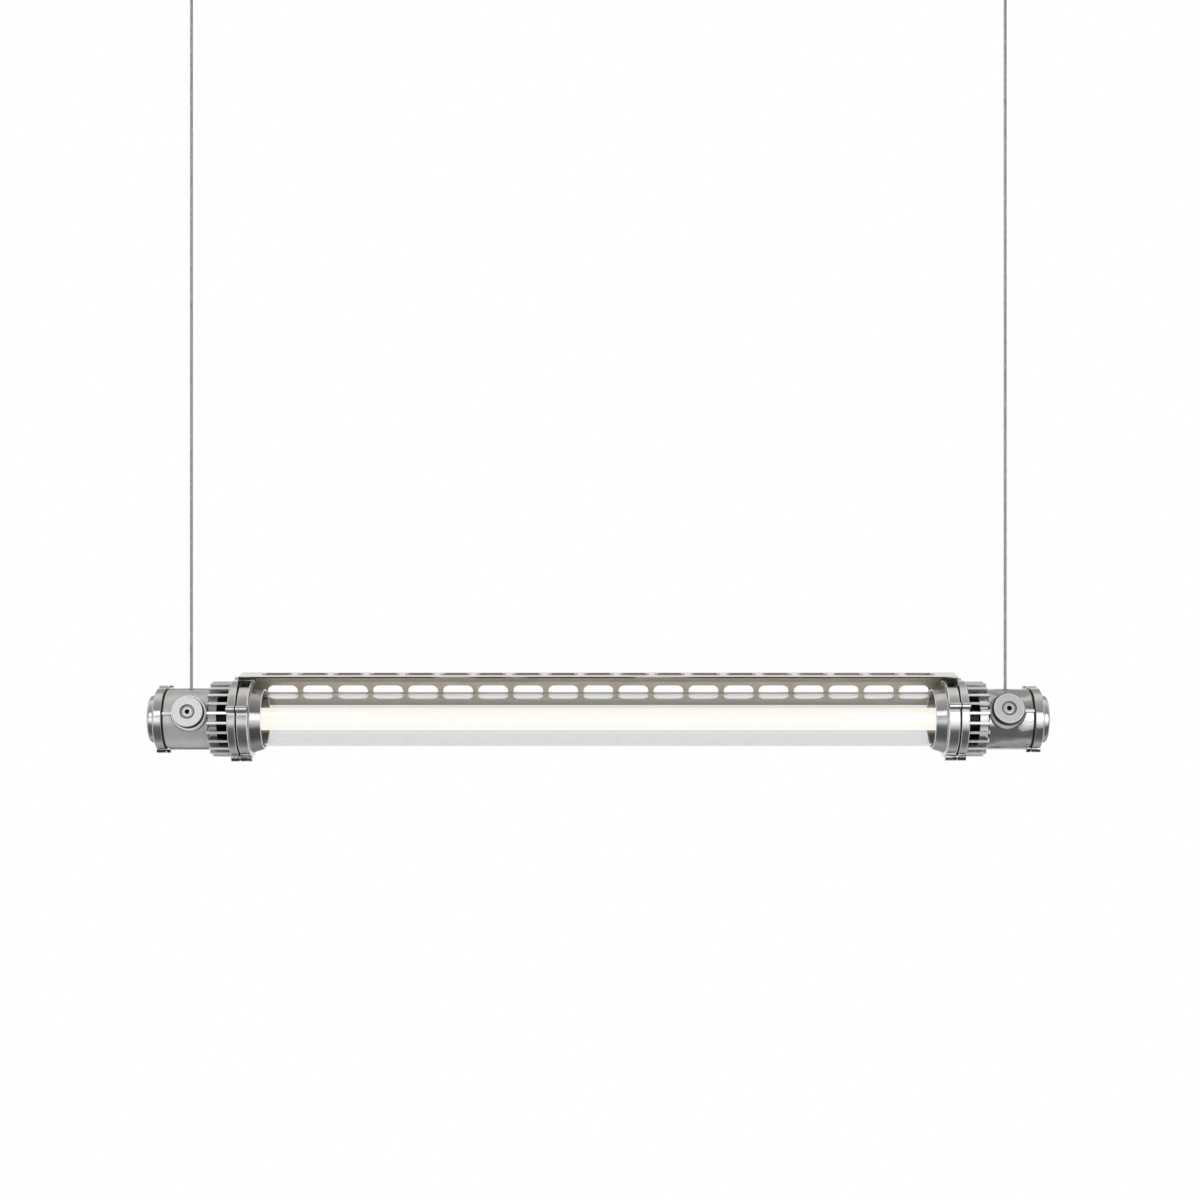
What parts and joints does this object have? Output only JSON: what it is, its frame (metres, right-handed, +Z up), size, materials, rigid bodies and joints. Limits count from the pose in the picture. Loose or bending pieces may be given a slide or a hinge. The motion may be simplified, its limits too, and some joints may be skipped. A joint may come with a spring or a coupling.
{
  "type": "linear pendant light",
  "caption": "Horizontal glass tube lamp between finned cast ends with a perforated top guard, hung level on thin steel cables from the ceiling.",
  "frame": {"origin": "on the ceiling plane, at the centre of the ceiling screw pattern, midway between the cables", "axes": "+X along the lamp, -Y towards its front, +Z up"},
  "size_m": [1.064, 0.1012, 0.9401],
  "materials": {
    "cast_metal": "polished casting",
    "turned_metal": "fine turned",
    "guard_sheet": "smooth sheet",
    "bright_steel": "bright",
    "steel_rope": "stranded",
    "clear_glass": "clear",
    "black_rubber": "matte",
    "lit_diffuser": "opal",
    "tube_metal": "satin",
    "board": "matte",
    "brass_pins": "bright",
    "holder_plastic": "matte",
    "lead_insulation": "matte"
  },
  "bodies": {
    "ceiling": {"left_ceiling_flange": "turned_metal", "right_ceiling_flange": "turned_metal", "upper_trunnions": "bright_steel"},
    "left_upper_swivel": {"left_upper_swivel": "bright_steel", "left_upper_pin": "bright_steel"},
    "right_upper_swivel": {"right_upper_swivel": "bright_steel", "right_upper_pin": "bright_steel"},
    "left_cable": {"left_cable": "steel_rope", "left_upper_eye": "bright_steel", "left_lower_eye": "bright_steel"},
    "right_cable": {"right_cable": "steel_rope", "right_upper_eye": "bright_steel", "right_lower_eye": "bright_steel"},
    "left_lower_swivel": {"left_lower_swivel": "bright_steel", "left_lower_pin": "bright_steel"},
    "right_lower_swivel": {"right_lower_swivel": "bright_steel", "right_lower_pin": "bright_steel"},
    "tube": {"tube_diffuser": "lit_diffuser", "tube_spine": "tube_metal", "led_board": "board", "left_tube_cap": "tube_metal", "right_tube_cap": "tube_metal", "tube_pins": "brass_pins", "left_holder_rotor": "holder_plastic", "right_holder_rotor": "holder_plastic"},
    "lamp": {"end_cap_screws": "bright_steel", "flange_bolts": "bright_steel", "glass_tube": "clear_glass", "guard": "guard_sheet", "holder_screws": "bright_steel", "left_collar": "cast_metal", "left_end_cap": "cast_metal", "left_end_cap_gasket": "black_rubber", "left_glass_seal": "black_rubber", "left_holder_plate": "bright_steel", "left_housing": "cast_metal", "left_lampholder": "holder_plastic", "left_leads": "lead_insulation", "left_plug": "turned_metal", "left_plug_seal": "black_rubber", "left_terminal_block": "holder_plastic", "lower_trunnions": "bright_steel", "plug_screws": "bright_steel", "right_collar": "cast_metal", "right_end_cap": "cast_metal", "right_end_cap_gasket": "black_rubber", "right_glass_seal": "black_rubber", "right_holder_plate": "bright_steel", "right_housing": "cast_metal", "right_lampholder": "holder_plastic", "right_leads": "lead_insulation", "right_plug": "turned_metal", "right_plug_seal": "black_rubber", "right_terminal_block": "holder_plastic"}
  },
  "joints": [
    {"name": "swing", "type": "hinge", "parent": "ceiling", "child": "left_upper_swivel", "pos_m": [-0.483, 0, -0.016], "axis": [1, 0, 0], "range_deg": [-15, 15]},
    {"name": "sway", "type": "hinge", "parent": "left_upper_swivel", "child": "left_cable", "pos_m": [-0.483, 0, -0.016], "axis": [0, 1, 0], "range_deg": [-8, 8]},
    {"name": "left_level", "type": "hinge", "parent": "left_cable", "child": "left_lower_swivel", "pos_m": [-0.483, 0, -0.868], "axis": [0, 1, 0], "range_deg": [-8, 8]},
    {"name": "tilt", "type": "hinge", "parent": "left_lower_swivel", "child": "lamp", "pos_m": [-0.483, 0, -0.868], "axis": [1, 0, 0], "range_deg": [-10, 10]},
    {"name": "tube_turn", "type": "hinge", "parent": "lamp", "child": "tube", "pos_m": [0, 0, -0.89], "axis": [1, 0, 0], "range_deg": [-90, 0]},
    {"name": "right_swing", "type": "hinge", "parent": "ceiling", "child": "right_upper_swivel", "pos_m": [0.483, 0, -0.016], "axis": [1, 0, 0], "range_deg": [-15, 15]},
    {"name": "right_sway", "type": "hinge", "parent": "right_upper_swivel", "child": "right_cable", "pos_m": [0.483, 0, -0.016], "axis": [0, 1, 0], "range_deg": [-8, 8]},
    {"name": "right_level", "type": "hinge", "parent": "right_cable", "child": "right_lower_swivel", "pos_m": [0.483, 0, -0.868], "axis": [0, 1, 0], "range_deg": [-8, 8]}
  ],
  "couplings": [
    {"joint": "left_level", "follows": "sway", "ratio": -1},
    {"joint": "right_swing", "follows": "swing", "ratio": 1},
    {"joint": "right_sway", "follows": "sway", "ratio": 1},
    {"joint": "right_level", "follows": "sway", "ratio": -1}
  ]
}
